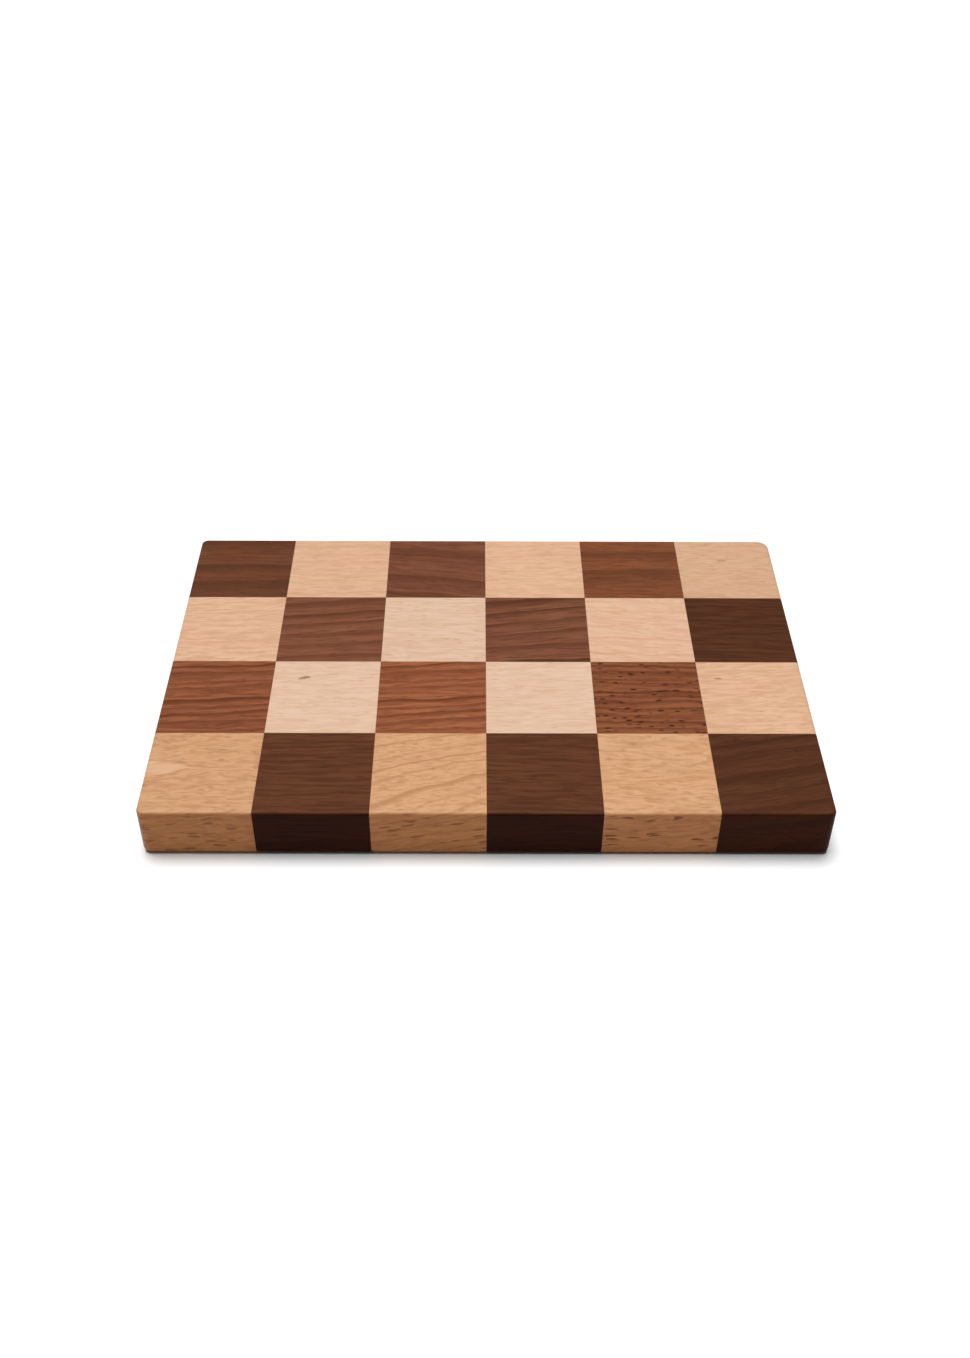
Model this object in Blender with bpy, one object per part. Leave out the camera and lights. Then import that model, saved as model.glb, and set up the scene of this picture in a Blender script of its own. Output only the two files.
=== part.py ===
"""Chequered cutting board: twenty-four solid wood blocks, glued up as one slab and then sanded round.

The board is built in the order a joiner works in. Six columns of four blocks are glued edge to edge,
the columns are glued side by side, and the slab is then trimmed and its corners and edges are eased.
So every block and every film of glue is a cell of one sanded slab.

Frame: metres, +X along the board to the right, +Y to the back, +Z up, with the origin at the centre
of the underside. Rows are counted from the front and columns from the left.
"""

import bmesh
import bpy
from mathutils import Matrix, Vector

# Driving dimensions, in metres.
BLOCK = 0.050  # pitch of the blocks, the same both ways
THICKNESS = 0.0254
END_TRIM = 0.0006  # lost from the left and the right end when the slab is squared and sanded
TOP_EDGE_RADIUS = 0.0016  # the eased edge all round the working face
UNDER_EDGE_RADIUS = 0.0026  # and all round the underside
CORNER_RADIUS = {  # upright corners, sanded by hand, so each is its own
    "front_left": 0.0036,
    "front_right": 0.0032,
    "back_right": 0.0056,
    "back_left": 0.0032,
}

# Glue joints. The wood faces stand GLUE_GAP apart and the hardened film lies between them.
GLUE_GAP = 0.0003
GLUE_FILM = 0.0002
GLUE_SHRINK = 0.0001  # the film's edge dries this far below the sanded surface

# Fineness of the rounded surfaces.
CORNER_SEGMENTS = 8
EDGE_SEGMENTS = 4

OVERRUN = 0.005  # how far an outer cell runs past the slab that trims it
LEVEL_TOLERANCE = 1e-6

# One wood for each block, from the back row to the front row, as the board is seen from above.
LAYOUT = (
    "brown tan brown tan brown tan",
    "pale brown pale brown pale dark",
    "red pale red pale red pale",
    "tan dark tan dark tan dark",
)

# For each material: what the node is called after, linear colour, roughness.
MATERIALS = {
    "tan": ("beech", (0.66, 0.37, 0.19), 0.50),
    "pale": ("beech", (0.77, 0.51, 0.35), 0.50),
    "dark": ("walnut", (0.10, 0.038, 0.020), 0.45),
    "brown": ("walnut", (0.18, 0.067, 0.034), 0.45),
    "red": ("walnut", (0.26, 0.088, 0.040), 0.48),
    "glue": ("glue", (0.45, 0.27, 0.12), 0.35),
}

ROWS = len(LAYOUT)
COLUMNS = len(LAYOUT[0].split())
LENGTH = COLUMNS * BLOCK - 2 * END_TRIM
WIDTH = ROWS * BLOCK


def clear_scene():
    for obj in list(bpy.data.objects):
        bpy.data.objects.remove(obj, do_unlink=True)


def new_collection(name):
    collection = bpy.data.collections.new(name)
    bpy.context.scene.collection.children.link(collection)
    return collection


def new_material(name):
    _, colour, roughness = MATERIALS[name]
    material = bpy.data.materials.new(name)
    material.use_nodes = True
    shader = material.node_tree.nodes["Principled BSDF"]
    shader.inputs["Base Color"].default_value = (*colour, 1.0)
    shader.inputs["Roughness"].default_value = roughness
    shader.inputs["Metallic"].default_value = 0.0
    return material


def new_box(name, collection, size, location):
    """A box primitive of that size, with its origin at its centre."""
    mesh = bpy.data.meshes.new(name)
    shape = bmesh.new()
    bmesh.ops.create_cube(shape, size=1.0, matrix=Matrix.Diagonal((*size, 1.0)))
    shape.to_mesh(mesh)
    shape.free()
    box = bpy.data.objects.new(name, mesh)
    box.location = location
    collection.objects.link(box)
    return box


def corner_name(point):
    """Which upright corner a point is nearest to."""
    depth = "front" if point.y < 0 else "back"
    side = "left" if point.x < 0 else "right"
    return f"{depth}_{side}"


def round_edges(shape, edges, radius, segments):
    """Rolls those edges over to a quarter round."""
    bmesh.ops.bevel(
        shape,
        geom=edges,
        affect="EDGES",
        offset=radius,
        offset_type="OFFSET",
        segments=segments,
        profile=0.5,
    )


def edges_where(shape, test):
    """The edges whose two ends both pass the test."""
    return [edge for edge in shape.edges if all(test(vert.co) for vert in edge.verts)]


def sanded_slab(name, collection, inset):
    """The whole board as one trimmed and eased slab, drawn in by inset all round. It only cuts."""
    size = Vector((LENGTH, WIDTH, THICKNESS)) - Vector((2 * inset,) * 3)
    slab = new_box(name, collection, size, (0.0, 0.0, THICKNESS / 2))
    shape = bmesh.new()
    shape.from_mesh(slab.data)
    for corner, radius in CORNER_RADIUS.items():
        upright = edges_where(shape, lambda point: corner_name(point) == corner)
        round_edges(shape, upright, radius - inset, CORNER_SEGMENTS)
    for level, radius in ((size.z / 2, TOP_EDGE_RADIUS), (-size.z / 2, UNDER_EDGE_RADIUS)):
        rim = edges_where(shape, lambda point: abs(point.z - level) < LEVEL_TOLERANCE)
        round_edges(shape, rim, radius - inset, EDGE_SEGMENTS)
    shape.to_mesh(slab.data)
    shape.free()
    slab.hide_render = True
    slab.display_type = "WIRE"
    return slab


def seam_positions(count):
    """Where the joints lie along one side, which is centred on the origin, ends included."""
    return [(i - count / 2) * BLOCK for i in range(count + 1)]


def cell_span(seams, index):
    """The stretch of one cell between its two joints. At the outside it runs past the slab."""
    last = len(seams) - 2
    low = seams[index] + GLUE_GAP / 2 if index > 0 else seams[index] - OVERRUN
    high = seams[index + 1] - GLUE_GAP / 2 if index < last else seams[index + 1] + OVERRUN
    return low, high


def film_span(seam):
    """The thickness of the glue in one joint."""
    return seam - GLUE_FILM / 2, seam + GLUE_FILM / 2


def trimmed_cell(name, collection, slab, x_span, y_span, material, board):
    """The part of the slab inside one cell: a block of wood or a film of glue."""
    low = Vector((x_span[0], y_span[0], -OVERRUN))
    high = Vector((x_span[1], y_span[1], THICKNESS + OVERRUN))
    cell = new_box(name, collection, high - low, (low + high) / 2)
    trim = cell.modifiers.new("trim_to_slab", "BOOLEAN")
    trim.operation = "INTERSECT"
    trim.object = slab
    trim.solver = "EXACT"
    cell.data.materials.append(material)
    cell.parent = board
    return cell


def build():
    clear_scene()
    parts = new_collection("cutting_board")
    cutters = new_collection("cutters")
    materials = {name: new_material(name) for name in MATERIALS}

    board = bpy.data.objects.new("board_origin", None)
    parts.objects.link(board)

    wood_slab = sanded_slab("wood_slab", cutters, 0.0)
    glue_slab = sanded_slab("glue_slab", cutters, GLUE_SHRINK)
    x_seams = seam_positions(COLUMNS)
    y_seams = seam_positions(ROWS)
    woods = [line.split() for line in reversed(LAYOUT)]

    for column in range(COLUMNS):
        x_span = cell_span(x_seams, column)
        for row in range(ROWS):
            wood = woods[row][column]
            name = f"{MATERIALS[wood][0]}_block_row{row + 1}_col{column + 1}"
            y_span = cell_span(y_seams, row)
            trimmed_cell(name, parts, wood_slab, x_span, y_span, materials[wood], board)
        # First glue-up: the three joints inside the column, long grain to long grain.
        for row in range(1, ROWS):
            name = f"glue_film_col{column + 1}_row{row}_to_row{row + 1}"
            y_span = film_span(y_seams[row])
            trimmed_cell(name, parts, glue_slab, x_span, y_span, materials["glue"], board)

    # Second glue-up: the five joints between the columns, across the whole board.
    full_width = (y_seams[0] - OVERRUN, y_seams[-1] + OVERRUN)
    for column in range(1, COLUMNS):
        name = f"glue_film_col{column}_to_col{column + 1}"
        x_span = film_span(x_seams[column])
        trimmed_cell(name, parts, glue_slab, x_span, full_width, materials["glue"], board)


build()
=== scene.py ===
"""Looks of the chequered cutting board: finely rounded blocks, hairline joints, procedural wood.

Metres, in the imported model's frame: +X along the board to the right, +Y to the back, +Z up, with the
origin at the centre of the underside. Rows are counted from the front and columns from the left.
Grain, rings and marks inside a block are given in millimetres from the middle of that block.
"""

import re
from math import radians

import bmesh
import bpy
from mathutils import Matrix, Vector


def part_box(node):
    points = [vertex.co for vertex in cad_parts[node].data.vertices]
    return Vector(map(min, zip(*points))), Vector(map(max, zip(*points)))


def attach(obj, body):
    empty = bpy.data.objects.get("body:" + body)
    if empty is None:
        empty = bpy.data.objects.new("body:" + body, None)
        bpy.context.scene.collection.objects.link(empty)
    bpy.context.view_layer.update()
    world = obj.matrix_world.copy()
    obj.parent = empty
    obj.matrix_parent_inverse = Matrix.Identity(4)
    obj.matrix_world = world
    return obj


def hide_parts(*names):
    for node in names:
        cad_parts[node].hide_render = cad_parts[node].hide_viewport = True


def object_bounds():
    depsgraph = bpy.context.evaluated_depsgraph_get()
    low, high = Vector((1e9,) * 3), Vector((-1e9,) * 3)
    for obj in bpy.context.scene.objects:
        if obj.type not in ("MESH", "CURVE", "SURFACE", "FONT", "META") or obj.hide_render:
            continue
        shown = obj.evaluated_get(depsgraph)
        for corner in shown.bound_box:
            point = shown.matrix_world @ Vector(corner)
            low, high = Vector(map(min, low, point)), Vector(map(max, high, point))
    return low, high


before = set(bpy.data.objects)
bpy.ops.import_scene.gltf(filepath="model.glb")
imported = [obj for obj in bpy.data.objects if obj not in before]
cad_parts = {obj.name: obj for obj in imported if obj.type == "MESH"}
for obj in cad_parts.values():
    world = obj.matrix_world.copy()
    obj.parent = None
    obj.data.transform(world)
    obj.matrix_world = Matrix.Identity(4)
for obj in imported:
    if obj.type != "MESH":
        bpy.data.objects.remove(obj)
cad_low, cad_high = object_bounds()

# ---------------------------------------------------------------- sizes, in metres

CORNER_RADIUS = {  # upright corners, the same as in the CAD
    "front_left": 0.0036,
    "front_right": 0.0032,
    "back_right": 0.0056,
    "back_left": 0.0032,
}
TOP_EDGE_RADIUS = 0.0016
UNDER_EDGE_RADIUS = 0.0026
CORNER_SEGMENTS = 24
EDGE_SEGMENTS = 10

CAD_GAP = 0.0003  # between the CAD's blocks
JOINT_GAP = 0.00006  # between the finished blocks, filled by the glue
GLUE_FILM = 0.00004
GLUE_SHRINK = 0.0001  # the glue's edge dries this far below the sanded surface
JOINT_EASE = 0.00008  # each block's sharp edges along a joint are worn off by this much

ON_PLANE = 1e-6  # a point this near to a plane counts as on it
CUT_TOLERANCE = ON_PLANE / 10
SHARP_ANGLE = radians(25)
MM = 1000.0  # millimetres in a metre
ALONG, DEPTH = 0, 1  # the axes along the board and from front to back

# ---------------------------------------------------------------- kinds of wood

# slot is a name for the record's wood. Colours are linear.
# early and late are the wood inside and at the end of a year's ring, blush is a second early hue that
# drifts through the board, and fleck is for pores, rays and knots. side and end multiply the colour of
# the upright faces, along the grain and across it. They are partly the darker tone of side and end
# grain and partly painted shade: the upright faces are darkened as a light from above would leave them.
# waver is how far the grain wanders, and ripple the share of that which comes in short waves. ring,
# streak, fine and dash are the strengths of the year rings, the broad and fine streaks and the pores.
# ring_start is how far through a year its dark wood begins. rays is the strength of the flecks on
# long-grain upright faces, and pips that of dark specks on every face. The sizes are the length and
# width of one streak or pore, in millimetres.
BEECH = dict(
    slot="beech_tan", roughness=0.46, specular=0.16, side=(0.87, 0.64, 0.40), end=(0.60, 0.42, 0.20),
    waver=1.0, ripple=0.5, ring=0.35, ring_start=0.70, streak=0.60, fine=0.35, dash=0.26,
    rays=0.72, pips=0.0, streak_size=(13.0, 1.5), fine_size=(9.0, 0.8), dash_size=(8.0, 1.8),
)
TAN = dict(
    BEECH, early=(0.545, 0.300, 0.152), blush=(0.545, 0.288, 0.152),
    late=(0.395, 0.192, 0.082), fleck=(0.205, 0.074, 0.024),
)
PEACH = dict(
    BEECH, early=(0.600, 0.372, 0.232), blush=(0.600, 0.356, 0.232),
    late=(0.480, 0.266, 0.145), fleck=(0.330, 0.160, 0.072), streak=0.45, dash=0.20,
)
PALE = dict(
    BEECH, slot="beech_pale", early=(0.590, 0.412, 0.298), blush=(0.585, 0.396, 0.290),
    late=(0.500, 0.302, 0.184), fleck=(0.300, 0.170, 0.090), streak=0.34, fine=0.42, dash=0.20,
    streak_size=(18.0, 1.6), fine_size=(14.0, 1.0),
)
WALNUT = dict(
    roughness=0.46, specular=0.035, side=(0.31, 0.16, 0.04), end=(0.30, 0.18, 0.08),
    waver=0.9, ripple=0.35, ring=0.60, ring_start=0.30, streak=0.60, fine=0.45, dash=0.30,
    rays=0.0, pips=0.0, streak_size=(28.0, 1.7), fine_size=(18.0, 0.9), dash_size=(8.0, 1.6),
)
DARK = dict(
    WALNUT, slot="walnut_dark", early=(0.112, 0.0400, 0.0175), blush=(0.112, 0.0360, 0.0170),
    late=(0.060, 0.0195, 0.0078), fleck=(0.030, 0.0100, 0.0040),
)
BROWN = dict(
    WALNUT, slot="walnut_brown", early=(0.205, 0.0770, 0.0390), blush=(0.200, 0.0700, 0.0380),
    late=(0.095, 0.0310, 0.0140), fleck=(0.050, 0.0160, 0.0070),
)
RED = dict(
    WALNUT, slot="walnut_red", early=(0.290, 0.0980, 0.0420), blush=(0.280, 0.0900, 0.0420),
    late=(0.115, 0.0330, 0.0130), fleck=(0.050, 0.0130, 0.0060), ring=1.0, waver=1.2, streak=0.32,
)

# ---------------------------------------------------------------- the twenty-four blocks

# turn: how far the grain rises to the back, going right, in degrees. dip: how far it climbs.
# heart: where the middle of the tree was, as (y, z). pitch: width of a year's ring.
# shade: lighter or darker than its kind. Any entry of the kind can be given again for one block.
BLOCKS = {
    (1, 1): dict(kind=TAN, turn=2, dip=5, heart=(6, -44), pitch=4.2, waver=1.4, ripple=0.7, dash=0.34,
                 shade=0.95),
    (1, 2): dict(kind=DARK, turn=0, dip=1, heart=(-160, -90), pitch=3.4, ring=0.40, shade=0.96),
    (1, 3): dict(kind=TAN, turn=3, dip=11, heart=(-42, -40), pitch=4.8, ring=0.85, streak=0.40,
                 waver=0.8, ripple=0.3, late=(0.375, 0.178, 0.074), shade=0.98),
    (1, 4): dict(kind=DARK, turn=-1, dip=1, heart=(-180, -80), pitch=3.0, ring=0.40, shade=0.94),
    (1, 5): dict(kind=TAN, turn=-2, dip=3, heart=(-8, -60), pitch=4.6, waver=1.4, ripple=0.7,
                 early=(0.542, 0.304, 0.163), rays=0.95),
    (1, 6): dict(kind=DARK, turn=10, dip=2, heart=(-90, -50), pitch=8.5, ring=0.75, waver=1.5, streak=0.25,
                 shade=0.76, side=(0.54, 0.32, 0.08)),
    (2, 1): dict(kind=RED, turn=3, dip=0, heart=(-240, -90), pitch=5.2, shade=0.88),
    (2, 2): dict(kind=PALE, turn=0, dip=1, heart=(-110, -60), pitch=3.6, shade=1.02),
    (2, 3): dict(kind=RED, turn=4, dip=0, heart=(-260, -60), pitch=5.4, shade=1.02),
    (2, 4): dict(kind=PALE, turn=1, dip=1, heart=(-90, -70), pitch=3.2, shade=1.02),
    (2, 5): dict(kind=RED, turn=-1, dip=1, heart=(-150, -80), pitch=3.6, ring=0.95, pips=0.95, shade=0.79),
    (2, 6): dict(kind=PEACH, turn=2, dip=3, heart=(-14, -60), pitch=3.4, ring=0.5, streak=0.62,
                 slot="beech_pale"),
    (3, 1): dict(kind=PEACH, turn=4, dip=2, heart=(-60, -60), pitch=4.0, ring=0.6, streak=0.62,
                 early=(0.595, 0.372, 0.245), slot="beech_pale"),
    (3, 2): dict(kind=BROWN, turn=5, dip=0, heart=(-200, -70), pitch=7.6, ring=1.0, streak=0.28, shade=0.94),
    (3, 3): dict(kind=PALE, turn=-2, dip=1, heart=(-30, -75), pitch=3.6, streak=0.42, fine=0.42,
                 dash=0.34, dash_size=(8.0, 1.3)),
    (3, 4): dict(kind=BROWN, turn=6, dip=0, heart=(-210, -80), pitch=8.4, ring=1.0, streak=0.28, shade=0.90,
                 late=(0.076, 0.0250, 0.0110)),
    (3, 5): dict(kind=PEACH, turn=-5, dip=2, heart=(-60, -50), pitch=4.4, ring=0.6, streak=0.42,
                 early=(0.600, 0.385, 0.262), blush=(0.600, 0.375, 0.258), slot="beech_pale"),
    (3, 6): dict(kind=DARK, turn=-3, dip=1, heart=(-120, -70), pitch=4.0, ring=0.30, shade=0.74),
    (4, 1): dict(kind=DARK, turn=0, dip=1, heart=(-100, -60), pitch=16, ring=0.9, streak=0.3, shade=1.2,
                 early=(0.109, 0.0430, 0.0200), late=(0.060, 0.0220, 0.0100), slot="walnut_brown"),
    (4, 2): dict(kind=PEACH, turn=0, dip=1, heart=(-90, -90), pitch=5.0, ring=0.6, shade=0.97),
    (4, 3): dict(kind=BROWN, turn=-7, dip=1, heart=(-120, -60), pitch=17, ring=0.75, streak=0.35, shade=0.84),
    (4, 4): dict(kind=PEACH, turn=-1, dip=1, heart=(-80, -90), pitch=4.6, ring=0.6),
    (4, 5): dict(kind=BROWN, turn=0, dip=1, heart=(-110, -70), pitch=19, ring=0.75, streak=0.35, shade=0.93,
                 early=(0.205, 0.0700, 0.0300), blush=(0.210, 0.0660, 0.0270)),
    (4, 6): dict(kind=PEACH, turn=-2, dip=3, heart=(10, -55), pitch=6.0, ring=0.5, waver=1.4, shade=0.89),
}

# Pin knots, specks and a flame patch on the working face: place, half lengths, turn and strength.
# They have the colour of the wood's flecks, unless another is given.
MARKS = {
    (1, 1): [dict(at=(-19, 3), half=(14, 6), turn=0, strength=0.6, colour=(0.59, 0.37, 0.23))],
    (2, 2): [
        dict(at=(-10.5, 13), half=(4.4, 1.5), turn=14, strength=1.0),
        dict(at=(-1.0, 15), half=(9.0, 0.7), turn=9, strength=0.28),
    ],
    (2, 6): [dict(at=(-15.4, 13), half=(2.4, 0.9), turn=0, strength=0.85)],
    (4, 6): [dict(at=(-2, 7), half=(3.0, 1.5), turn=4, strength=0.55)],
}


# ---------------------------------------------------------------- shape

def corner_name(point):
    """Which upright corner a point is nearest to."""
    depth = "front" if point.y < 0 else "back"
    side = "left" if point.x < 0 else "right"
    return f"{depth}_{side}"


def round_edges(shape, edges, radius, segments):
    """Rolls those edges over. One segment gives a plain chamfer."""
    bmesh.ops.bevel(
        shape,
        geom=edges,
        affect="EDGES",
        offset=radius,
        offset_type="OFFSET",
        segments=segments,
        profile=0.5,
    )


def edges_where(shape, test):
    """The edges whose two ends both pass the test."""
    return [edge for edge in shape.edges if all(test(vert.co) for vert in edge.verts)]


def sanded_slab(inset):
    """The whole board as one fine closed shape, drawn in by inset all round."""
    low = cad_low + Vector((inset,) * 3)
    high = cad_high - Vector((inset,) * 3)
    shape = bmesh.new()
    place = Matrix.Translation((low + high) / 2) @ Matrix.Diagonal((*(high - low), 1.0))
    bmesh.ops.create_cube(shape, size=1.0, matrix=place)
    for corner, radius in CORNER_RADIUS.items():
        upright = edges_where(shape, lambda point: corner_name(point) == corner)
        round_edges(shape, upright, radius - inset, CORNER_SEGMENTS)
    for level, radius in ((high.z, TOP_EDGE_RADIUS), (low.z, UNDER_EDGE_RADIUS)):
        rim = edges_where(shape, lambda point: abs(point.z - level) < ON_PLANE)
        round_edges(shape, rim, radius - inset, EDGE_SEGMENTS)
    return shape


def saw(shape, axis, place, keep_below):
    """Cuts the shape across one axis, keeps one side and closes the cut."""
    normal = Vector((0.0, 0.0, 0.0))
    normal[axis] = 1.0 if keep_below else -1.0
    point = Vector((0.0, 0.0, 0.0))
    point[axis] = place
    whole = shape.verts[:] + shape.edges[:] + shape.faces[:]
    cut = bmesh.ops.bisect_plane(
        shape, geom=whole, dist=CUT_TOLERANCE, plane_co=point, plane_no=normal, clear_outer=True
    )
    rim = [part for part in cut["geom_cut"] if isinstance(part, bmesh.types.BMEdge)]
    bmesh.ops.edgeloop_fill(shape, edges=rim)


def sawn_piece(name, slab, cuts, ease, material):
    """The part of the slab between the cuts, its cut edges eased, as an object of the scene."""
    shape = slab.copy()
    for axis, place, keep_below in cuts:
        saw(shape, axis, place, keep_below)
    bmesh.ops.recalc_face_normals(shape, faces=shape.faces[:])
    if ease:
        sawn_edges = set()
        for axis, place, _ in cuts:
            sawn_edges.update(edges_where(shape, lambda point: abs(point[axis] - place) < ON_PLANE))
        round_edges(shape, list(sawn_edges), ease, 1)
    mesh = bpy.data.meshes.new(name)
    shape.to_mesh(mesh)
    shape.free()
    mesh.shade_smooth()
    mesh.set_sharp_from_angle(angle=SHARP_ANGLE)
    mesh.materials.append(material)
    piece = bpy.data.objects.new(name, mesh)
    bpy.context.scene.collection.objects.link(piece)
    shading = piece.modifiers.new("flat_faces_stay_flat", "WEIGHTED_NORMAL")
    shading.mode = "FACE_AREA"
    shading.keep_sharp = True
    return piece


def inner_cuts(low, high, grow):
    """Where the slab is sawn to leave one cell: at each side that isn't an outside of the board."""
    cuts = []
    for axis in (ALONG, DEPTH):
        if low[axis] > cad_low[axis] + CAD_GAP:
            cuts.append((axis, low[axis] - grow, False))
        if high[axis] < cad_high[axis] - CAD_GAP:
            cuts.append((axis, high[axis] + grow, True))
    return cuts


# ---------------------------------------------------------------- shader building blocks

class Graph:
    """Adds shader nodes to one new material and wires them up."""

    def __init__(self, name):
        self.material = bpy.data.materials.new(name)
        self.material.use_nodes = True
        self.tree = self.material.node_tree
        self.shader = self.tree.nodes["Principled BSDF"]

    def wire(self, value, socket):
        """Gives a socket a plain value or another node's output."""
        if isinstance(value, bpy.types.NodeSocket):
            self.tree.links.new(value, socket)
        else:
            socket.default_value = value

    def add(self, kind, inputs, **settings):
        """A new node with those settings and inputs."""
        node = self.tree.nodes.new(kind)
        for setting, value in settings.items():
            setattr(node, setting, value)
        for key, value in inputs.items():
            self.wire(value, node.inputs[key])
        return node

    def math(self, operation, *values):
        return self.add("ShaderNodeMath", dict(enumerate(values)), operation=operation).outputs[0]

    def vector(self, operation, *values):
        return self.add("ShaderNodeVectorMath", dict(enumerate(values)), operation=operation).outputs[0]

    def axes(self, vector):
        return self.add("ShaderNodeSeparateXYZ", {0: vector}).outputs

    def join(self, x, y, z):
        return self.add("ShaderNodeCombineXYZ", {0: x, 1: y, 2: z}).outputs[0]

    def step(self, value, start, end, low=0.0, high=1.0):
        """A smooth step from low at start to high at end."""
        inputs = {"Value": value, "From Min": start, "From Max": end, "To Min": low, "To Max": high}
        return self.add("ShaderNodeMapRange", inputs, interpolation_type="SMOOTHSTEP").outputs[0]

    def noise(self, vector, cell, detail=2.0, roughness=0.5):
        """Soft noise whose blotches are about cell millimetres each way. Gives value and colour."""
        scaled = self.vector("DIVIDE", vector, cell)
        inputs = {"Vector": scaled, "Scale": 1.0, "Detail": detail, "Roughness": roughness}
        return self.add("ShaderNodeTexNoise", inputs).outputs

    def cells(self, vector, cell):
        """Scattered points, one to a cell of that size. Gives the distance and a colour for each."""
        scaled = self.vector("DIVIDE", vector, cell)
        return self.add("ShaderNodeTexVoronoi", {"Vector": scaled, "Scale": 1.0}).outputs

    def mix(self, factor, first, second, blend="MIX"):
        """Two colours blended. The numbers are the Mix node's own places for colours."""
        inputs = {0: factor, 6: first, 7: second}
        return self.add("ShaderNodeMix", inputs, data_type="RGBA", blend_type=blend).outputs[2]

    def tint(self, factor, colour, multiplier):
        """The colour multiplied by another, where the factor is 1."""
        return self.mix(factor, colour, multiplier, blend="MULTIPLY")


def opaque(colour, shade=1.0):
    """A colour with its alpha, lighter or darker by shade."""
    return (colour[0] * shade, colour[1] * shade, colour[2] * shade, 1.0)


# ---------------------------------------------------------------- wood

# How big the figure is along and across the grain, in millimetres.
WAVER_CELL = (60.0, 20.0, 20.0)
RIPPLE_CELL = (14.0, 5.0, 5.0)
DRIFT_CELL = (50.0, 14.0, 14.0)
RAY_CELL = (9.5, 12.0, 2.0)
PIP_CELL = (5.0, 1.9, 1.9)
CROWD_CELL = (26.0, 16.0, 16.0)  # pips gather in patches of this size
WAVER_REACH = 5.0  # millimetres, for a waver of 1

# Blocks are cut from different lengths of the log, this far apart in millimetres.
COLUMN_STEP = 173.0
ROW_STEP = 61.0

RING_UNEVEN = 1.8  # rings, how far the spacing wanders
RING_UNEVEN_CELL = (2.2, 1.0, 1.0)  # rings, over how many it wanders
RING_DARKEST = 0.92  # how far through a year its dark wood is darkest
RING_END = 0.93  # how far through a year it starts to fade into the next
FAINTEST_RING = 0.45

# Noise below the first of each pair shows nothing, and above the second shows in full.
STREAK_RANGE = (0.44, 0.64)
FINE_RANGE = (0.46, 0.66)
DRIFT_RANGE = (0.30, 0.70)
CROWD_RANGE = (0.38, 0.52)

# Small marks: how far they reach and how big their full-strength core is, as parts of a cell, and in
# what share of the cells there is one.
DASH = dict(edge=0.36, core=0.12, share=0.60)
RAY = dict(edge=0.37, core=0.23, share=0.48)
PIP = dict(edge=0.40, core=0.16, share=0.70)
SHARE_BLUR = 0.04
RAGGEDNESS = 0.5

MARK_RAGGEDNESS = 1.2
MARK_SOFTNESS = 0.5
TOP_FACE = (0.5, 0.9)  # how far up a surface faces before it shows marks

# How far up a surface faces (1 is up, -1 is down) where the tint of the upright faces fades out and
# where it is full, and how gradually an end turns into a front or back round a corner. The tint is
# partly the tone of side and end grain and partly painted shade.
END_TONE_AND_SHADE_TOP = (0.45, 0.15)
SIDE_TONE_AND_SHADE_TOP = (0.85, 0.35)
TONE_AND_SHADE_BOTTOM = (-0.95, -0.70)
CORNER_BLEND = 0.4

ROUGHNESS_SPREAD = 0.16
BUMP_DEPTH = 0.00006
BUMP_STRENGTH = 0.35
PORE_DEPTH = 0.6  # of the depth of a year's ring
FIBRE_DEPTH = 0.5


def wander(g, vector, cell, reach):
    """A smooth shift across the grain, of up to about half the reach each way."""
    shift = g.vector("SUBTRACT", g.noise(vector, cell, detail=1.0)[1], (0.5,) * 3)
    return g.vector("MULTIPLY", shift, (0.0, reach, reach))


def place_in_log(g, local, cell, wood):
    """Where each point was in the log: along the grain, then across it from the heart of the tree."""
    row, column = cell
    heart_y, heart_z = wood["heart"]
    place = {
        "Vector": local,
        "Location": (COLUMN_STEP * column + ROW_STEP * row, -heart_y, -heart_z),
        "Rotation": (0.0, radians(wood["dip"]), -radians(wood["turn"])),
    }
    straight = g.add("ShaderNodeMapping", place).outputs[0]
    # Grain is never quite straight: a slow waver and a shorter ripple on top of it.
    reach = WAVER_REACH * wood["waver"]
    slow = wander(g, straight, WAVER_CELL, reach)
    quick = wander(g, straight, RIPPLE_CELL, reach * wood["ripple"])
    return g.vector("ADD", straight, g.vector("ADD", slow, quick))


def year_rings(g, grain, wood):
    """How near each point is to the dark end of its year's ring, 0 to 1."""
    _, across, up = g.axes(grain)
    section = g.join(0.0, across, up)
    distance = g.add("ShaderNodeVectorMath", {0: section}, operation="LENGTH").outputs["Value"]
    turns = g.math("DIVIDE", distance, wood["pitch"])
    uneven = g.noise(g.join(turns, 0.0, 0.0), RING_UNEVEN_CELL, detail=1.0)[0]
    turns = g.math("MULTIPLY_ADD", uneven, RING_UNEVEN, turns)
    within = g.math("FRACT", turns)
    rise = g.step(within, wood["ring_start"], RING_DARKEST)
    fall = g.step(within, 1.0, RING_END)
    year = {"W": g.math("FLOOR", turns)}
    chance = g.add("ShaderNodeTexWhiteNoise", year, noise_dimensions="1D").outputs[0]
    strength = g.step(chance, 0.0, 1.0, FAINTEST_RING, 1.0)
    return g.math("MULTIPLY", g.math("MULTIPLY", rise, fall), strength)


def drawn_out(size):
    """A cell for figure of that length along the grain and that width both ways across it."""
    length, width = size
    return (length, width, width)


def scattered(g, vector, cell, edge, core, share, ragged=None):
    """Small rounded marks, in that share of the cells, 0 to 1. A noise makes their edges ragged."""
    distance, colour = g.cells(vector, cell)[:2]
    if ragged is not None:
        distance = g.math("MULTIPLY_ADD", g.math("SUBTRACT", ragged, 0.5), RAGGEDNESS, distance)
    mark = g.step(distance, edge, core)
    chosen = g.step(g.axes(colour)[0], share + SHARE_BLUR, share - SHARE_BLUR)
    return g.math("MULTIPLY", mark, chosen)


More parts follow.
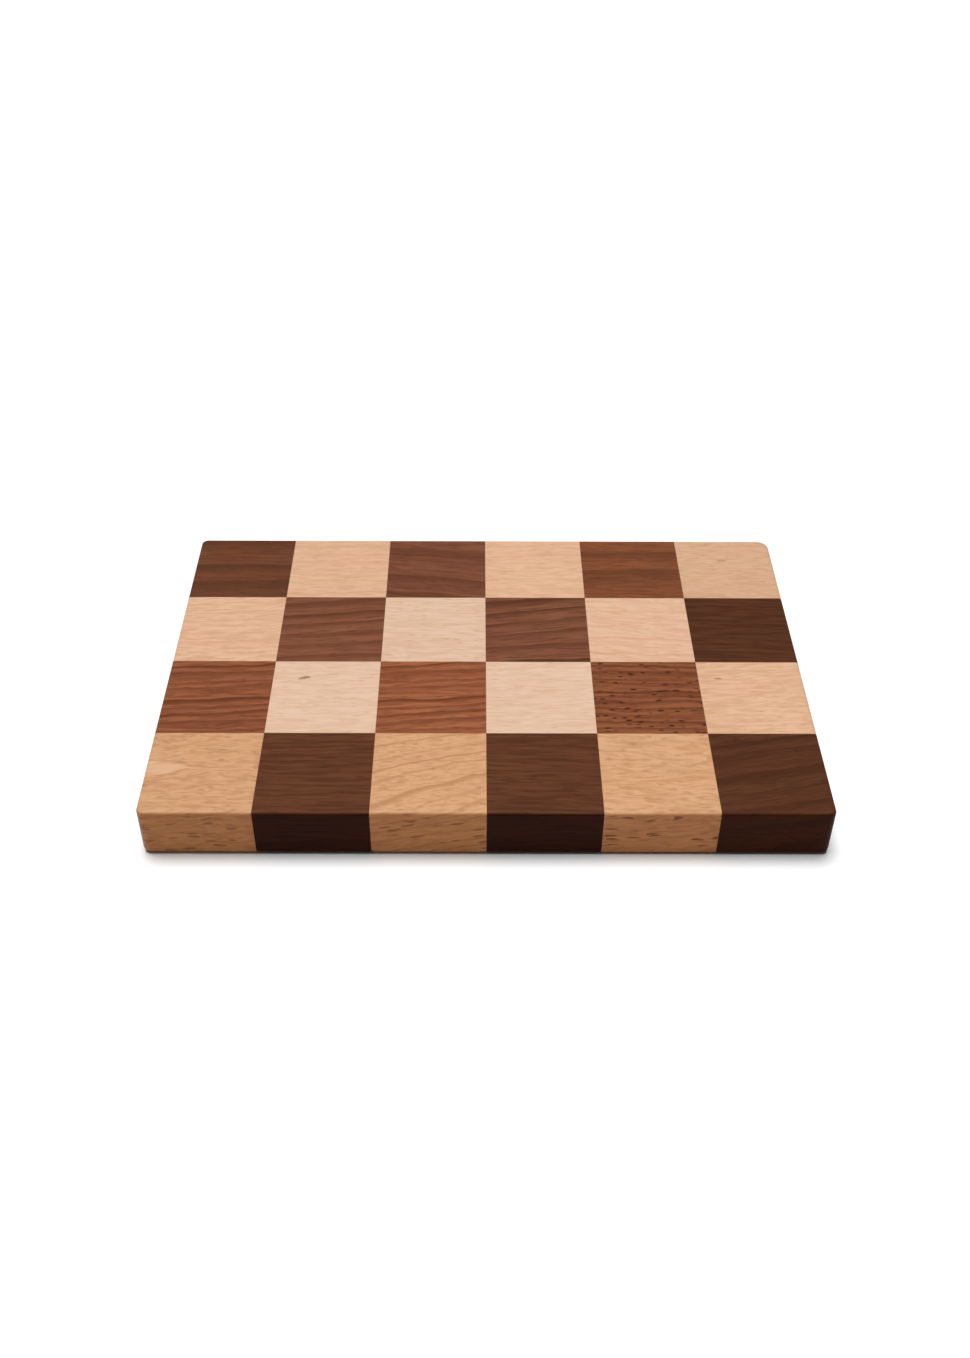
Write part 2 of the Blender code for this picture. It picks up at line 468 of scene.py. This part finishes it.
def lens_mark(g, local, mark, noise):
    """One knot, speck or patch: a lens shape pointed at both ends."""
    moved = g.vector("SUBTRACT", local, (*mark["at"], 0.0))
    inputs = {"Vector": moved, "Rotation": (0.0, 0.0, -radians(mark["turn"]))}
    turned = g.add("ShaderNodeMapping", inputs).outputs[0]
    along, across, _ = g.axes(g.vector("DIVIDE", turned, (*mark["half"], 1.0)))
    edge = g.math("MULTIPLY_ADD", along, along, g.math("ABSOLUTE", across))
    edge = g.math("MULTIPLY_ADD", g.math("SUBTRACT", noise, 0.5), MARK_RAGGEDNESS, edge)
    return g.step(edge, 1.0, 1.0 - MARK_SOFTNESS, 0.0, mark["strength"])


def add_marks(g, colour, local, up, noise, cell, wood):
    """The colour with the block's own knots, specks and patch, which show on the working face only."""
    on_top = g.step(up, *TOP_FACE)
    for mark in MARKS[cell]:
        amount = g.math("MULTIPLY", lens_mark(g, local, mark, noise), on_top)
        colour = g.mix(amount, colour, opaque(mark.get("colour", wood["fleck"])))
    return colour


def upright_shares(g, facing):
    """How far each point is on an end of the board, and how far on its front or back, 0 to 1."""
    # Both shares carry the darker tint of the upright faces: partly grain tone, partly painted shade.
    endways = g.math("SUBTRACT", g.math("ABSOLUTE", facing[0]), g.math("ABSOLUTE", facing[1]))
    endways = g.step(endways, -CORNER_BLEND, CORNER_BLEND)
    sideways = g.math("SUBTRACT", 1.0, endways)
    off_underside = g.step(facing[2], *TONE_AND_SHADE_BOTTOM)
    end_grain_and_painted_shade = g.math("MULTIPLY", endways, g.step(facing[2], *END_TONE_AND_SHADE_TOP))
    end_grain_and_painted_shade = g.math("MULTIPLY", end_grain_and_painted_shade, off_underside)
    long_grain_and_painted_shade = g.math("MULTIPLY", sideways, g.step(facing[2], *SIDE_TONE_AND_SHADE_TOP))
    long_grain_and_painted_shade = g.math("MULTIPLY", long_grain_and_painted_shade, off_underside)
    return end_grain_and_painted_shade, long_grain_and_painted_shade


def wood_material(name, centre, cell, wood):
    """Solid wood, cut from its own place in the log, so the figure runs on round every face."""
    g = Graph(name)
    coordinates = g.add("ShaderNodeTexCoord", {}).outputs
    local = g.vector("MULTIPLY", g.vector("SUBTRACT", coordinates["Object"], centre), (MM,) * 3)
    facing = g.axes(coordinates["Normal"])
    end_grain_and_painted_shade, long_grain_and_painted_shade = upright_shares(g, facing)
    grain = place_in_log(g, local, cell, wood)

    late = year_rings(g, grain, wood)
    fibre = g.noise(grain, drawn_out(wood["streak_size"]), detail=1.5)[0]
    hair = g.noise(grain, drawn_out(wood["fine_size"]), detail=1.0)[0]
    dash = scattered(g, grain, drawn_out(wood["dash_size"]), **DASH)
    drift = g.step(g.noise(grain, DRIFT_CELL, detail=1.0)[0], *DRIFT_RANGE)

    shade = wood.get("shade", 1.0)
    late_colour = opaque(wood["late"], shade)
    fleck_colour = opaque(wood["fleck"], shade)
    colour = g.mix(drift, opaque(wood["early"], shade), opaque(wood["blush"], shade))
    layers = (
        (late, wood["ring"], late_colour),
        (g.step(fibre, *STREAK_RANGE), wood["streak"], late_colour),
        (g.step(hair, *FINE_RANGE), wood["fine"], late_colour),
        (dash, wood["dash"], fleck_colour),
    )
    for amount, strength, layer_colour in layers:
        colour = g.mix(g.math("MULTIPLY", amount, strength), colour, layer_colour)
    if cell in MARKS:
        colour = add_marks(g, colour, local, facing[2], fibre, cell, wood)

    # Medullary rays show as short dark flecks where the face is cut along them.
    if wood["rays"]:
        rays = scattered(g, grain, RAY_CELL, **RAY, ragged=hair)
        shown = g.math("MULTIPLY", long_grain_and_painted_shade, wood["rays"])
        colour = g.mix(g.math("MULTIPLY", rays, shown), colour, fleck_colour)
    # Pips are small dark specks that gather in patches.
    if wood["pips"]:
        pips = scattered(g, grain, PIP_CELL, **PIP, ragged=hair)
        crowd = g.step(g.noise(grain, CROWD_CELL, detail=1.0)[0], *CROWD_RANGE)
        pips = g.math("MULTIPLY", pips, crowd)
        colour = g.mix(g.math("MULTIPLY", pips, wood["pips"]), colour, fleck_colour)

    # Upright faces darker than the top: partly the tone of side and end grain, partly painted shade.
    colour = g.tint(long_grain_and_painted_shade, colour, opaque(wood["side"]))
    colour = g.tint(end_grain_and_painted_shade, colour, opaque(wood["end"]))
    g.wire(colour, g.shader.inputs["Base Color"])

    least_rough = wood["roughness"] - ROUGHNESS_SPREAD / 2
    g.wire(g.math("MULTIPLY_ADD", fibre, ROUGHNESS_SPREAD, least_rough), g.shader.inputs["Roughness"])
    g.shader.inputs["Specular IOR Level"].default_value = wood["specular"]
    depth = g.math("MULTIPLY_ADD", dash, PORE_DEPTH, g.math("MULTIPLY_ADD", fibre, FIBRE_DEPTH, late))
    bump = {"Height": g.math("MULTIPLY", depth, -1.0), "Strength": BUMP_STRENGTH, "Distance": BUMP_DEPTH}
    g.wire(g.add("ShaderNodeBump", bump).outputs[0], g.shader.inputs["Normal"])
    return g.material


GLUE_COLOUR = (0.30, 0.17, 0.08)
GLUE_ROUGHNESS = 0.38


def glue_material():
    """Hardened wood glue, only a hairline at each joint."""
    g = Graph("wood_glue")
    g.shader.inputs["Base Color"].default_value = opaque(GLUE_COLOUR)
    g.shader.inputs["Roughness"].default_value = GLUE_ROUGHNESS
    return g.material


# ---------------------------------------------------------------- pieces

BLOCK_SPREAD = (CAD_GAP - JOINT_GAP) / 2  # how far a finished block reaches into the CAD's gap
SAME_SEAM = 6  # decimal places, in metres, to which the films of one joint agree


def cell_of(node):
    """Row and column in a block's name."""
    row, column = re.search(r"row(\d)_col(\d)$", node).groups()
    return int(row), int(column)


def make_blocks(slab):
    """One finished block for each block of the CAD."""
    for node in sorted(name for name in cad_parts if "_block_" in name):
        cell = cell_of(node)
        row, column = cell
        low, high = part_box(node)
        entry = BLOCKS[cell]
        wood = {**entry["kind"], **entry}
        material = wood_material(f"wood_row{row}_col{column}", tuple((low + high) / 2), cell, wood)
        cuts = inner_cuts(low, high, BLOCK_SPREAD)
        piece = sawn_piece(f"finished_{node}", slab, cuts, JOINT_EASE, material)
        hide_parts(node)
        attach(piece, "root")


def joins_rows(node):
    """Whether a glue film lies between two rows, and not between two columns."""
    return "_row" in node


def row_seams(glue_nodes):
    """Where the joints between the rows are, from front to back."""
    places = set()
    for node in glue_nodes:
        if joins_rows(node):
            low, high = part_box(node)
            places.add(round((low.y + high.y) / 2, SAME_SEAM))
    return sorted(places)


def strips_of(node, seams):
    """Each visible strip of a glue film, one block long, as its name and the cuts at its ends."""
    if joins_rows(node):
        low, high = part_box(node)
        ends = [cut for cut in inner_cuts(low, high, BLOCK_SPREAD) if cut[0] == ALONG]
        return [(f"finished_{node}", ends)]
    strips = []
    limits = [None, *seams, None]
    for row, (front, back) in enumerate(zip(limits, limits[1:]), 1):
        ends = []
        if front is not None:
            ends.append((DEPTH, front + GLUE_FILM / 2, False))
        if back is not None:
            ends.append((DEPTH, back - GLUE_FILM / 2, True))
        strips.append((f"finished_{node}_row{row}", ends))
    return strips


def make_glue(slab, material):
    """The glue in each joint, in strips as long as one block."""
    glue_nodes = sorted(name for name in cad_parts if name.startswith("glue"))
    seams = row_seams(glue_nodes)
    for node in glue_nodes:
        low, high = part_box(node)
        middle = (low + high) / 2
        axis = DEPTH if joins_rows(node) else ALONG
        low_face = (axis, middle[axis] - GLUE_FILM / 2, False)
        high_face = (axis, middle[axis] + GLUE_FILM / 2, True)
        for name, ends in strips_of(node, seams):
            piece = sawn_piece(name, slab, [low_face, high_face, *ends], 0.0, material)
            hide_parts(node)
            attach(piece, "root")


# ---------------------------------------------------------------- studio

WHITE = (1.0, 1.0, 1.0)
FLOOR_WHITE = 0.88
FLOOR_ROUGHNESS = 0.9
FLOOR_SPECULAR = 0.1
FLOOR_HALF_SIDE = 30.0
FLOOR_SEGMENTS = 8
FLOOR_CLEARANCE = 0.0001  # keeps the floor from sharing a plane with the underside

KEY_STRENGTH = 4.1
KEY_SPREAD = radians(36)
KEY_LEAN = (radians(-9), radians(-4), 0.0)
FILL_STRENGTH = 0.08

LENS = 38.05  # millimetres
CLIP_START = 0.01
CLIP_END = 100.0
PITCH_DOWN = radians(40.82)
ROLL = radians(-0.445)
YAW = radians(-0.50)
CAMERA_ACROSS = -0.0049
CAMERA_DEPTH = -0.5235
CAMERA_ABOVE_BOARD = 0.4413


def make_floor():
    """A plain white table top that runs on past the view."""
    mesh = bpy.data.meshes.new("studio_floor")
    shape = bmesh.new()
    bmesh.ops.create_grid(
        shape, x_segments=FLOOR_SEGMENTS, y_segments=FLOOR_SEGMENTS, size=FLOOR_HALF_SIDE
    )
    shape.to_mesh(mesh)
    shape.free()
    floor = bpy.data.objects.new("studio_floor", mesh)
    floor.location.z = cad_low.z - FLOOR_CLEARANCE
    g = Graph("studio_floor")
    g.shader.inputs["Base Color"].default_value = opaque(WHITE, FLOOR_WHITE)
    g.shader.inputs["Roughness"].default_value = FLOOR_ROUGHNESS
    g.shader.inputs["Specular IOR Level"].default_value = FLOOR_SPECULAR
    mesh.materials.append(g.material)
    bpy.context.scene.collection.objects.link(floor)


def make_light():
    """One broad soft light overhead and a little behind, over a low even fill."""
    lamp = bpy.data.lights.new("overhead_softbox", "SUN")
    lamp.energy = KEY_STRENGTH
    lamp.angle = KEY_SPREAD
    key = bpy.data.objects.new("overhead_softbox", lamp)
    key.rotation_euler = KEY_LEAN
    bpy.context.scene.collection.objects.link(key)
    world = bpy.data.worlds.new("studio")
    world.use_nodes = True
    nodes, links = world.node_tree.nodes, world.node_tree.links
    fill = nodes["Background"]
    fill.inputs["Color"].default_value = opaque(WHITE)
    fill.inputs["Strength"].default_value = FILL_STRENGTH
    # Past the end of the floor the camera sees a white wall, which gives no light.
    wall = nodes.new("ShaderNodeBackground")
    wall.inputs["Color"].default_value = opaque(WHITE)
    choose = nodes.new("ShaderNodeMixShader")
    links.new(nodes.new("ShaderNodeLightPath").outputs["Is Camera Ray"], choose.inputs[0])
    links.new(fill.outputs[0], choose.inputs[1])
    links.new(wall.outputs[0], choose.inputs[2])
    links.new(choose.outputs[0], nodes["World Output"].inputs["Surface"])
    bpy.context.scene.world = world
    bpy.context.scene.view_settings.view_transform = "Standard"


def make_camera():
    """Stands in front, a little left of the middle, and looks down on the working face."""
    data = bpy.data.cameras.new("photographer")
    data.lens = LENS
    data.clip_start = CLIP_START
    data.clip_end = CLIP_END
    camera = bpy.data.objects.new("photographer", data)
    aim = (
        Matrix.Rotation(YAW, 4, "Z")
        @ Matrix.Rotation(radians(90) - PITCH_DOWN, 4, "X")
        @ Matrix.Rotation(-ROLL, 4, "Z")
    )
    place = Matrix.Translation((CAMERA_ACROSS, CAMERA_DEPTH, cad_high.z + CAMERA_ABOVE_BOARD))
    camera.matrix_world = place @ aim
    bpy.context.scene.collection.objects.link(camera)
    bpy.context.scene.camera = camera


# ---------------------------------------------------------------- the whole

wood_slab = sanded_slab(0.0)
glue_slab = sanded_slab(GLUE_SHRINK)
make_blocks(wood_slab)
make_glue(glue_slab, glue_material())
wood_slab.free()
glue_slab.free()
make_floor()
make_light()
make_camera()
